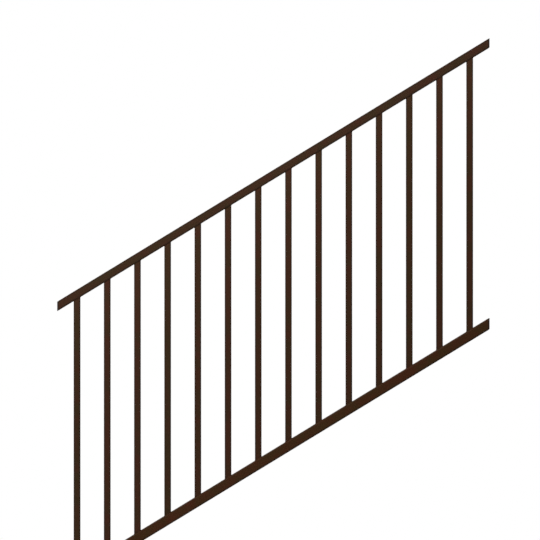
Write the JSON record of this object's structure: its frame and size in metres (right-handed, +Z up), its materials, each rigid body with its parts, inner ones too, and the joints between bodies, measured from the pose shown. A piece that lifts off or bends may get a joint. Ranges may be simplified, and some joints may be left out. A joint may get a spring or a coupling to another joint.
{
  "type": "stair balustrade panel",
  "caption": "Raked guard panel for a straight stair: two sloping square-tube rails with plumb-cut ends and upright square balusters between them.",
  "frame": {"origin": "middle of the bottom rail's plumb end face at the lower end of the stair, the face that is set against the lower post", "axes": "+X along the stair, towards the end where the panel rises; +Y from the front through the depth to the back; +Z up"},
  "size_m": [1.316, 0.03, 1.6878],
  "materials": {
    "coated_steel": "satin",
    "end_plug": "matte"
  },
  "bodies": {
    "root": {"bottom_rail": "coated_steel", "top_rail": "coated_steel", "baluster_01": "coated_steel", "baluster_02": "coated_steel", "baluster_03": "coated_steel", "baluster_04": "coated_steel", "baluster_05": "coated_steel", "baluster_06": "coated_steel", "baluster_07": "coated_steel", "baluster_08": "coated_steel", "baluster_09": "coated_steel", "baluster_10": "coated_steel", "baluster_11": "coated_steel", "baluster_12": "coated_steel", "baluster_13": "coated_steel", "baluster_14": "coated_steel", "bottom_rail_lower_plug": "end_plug", "bottom_rail_upper_plug": "end_plug", "top_rail_lower_plug": "end_plug", "top_rail_upper_plug": "end_plug"}
  },
  "joints": []
}
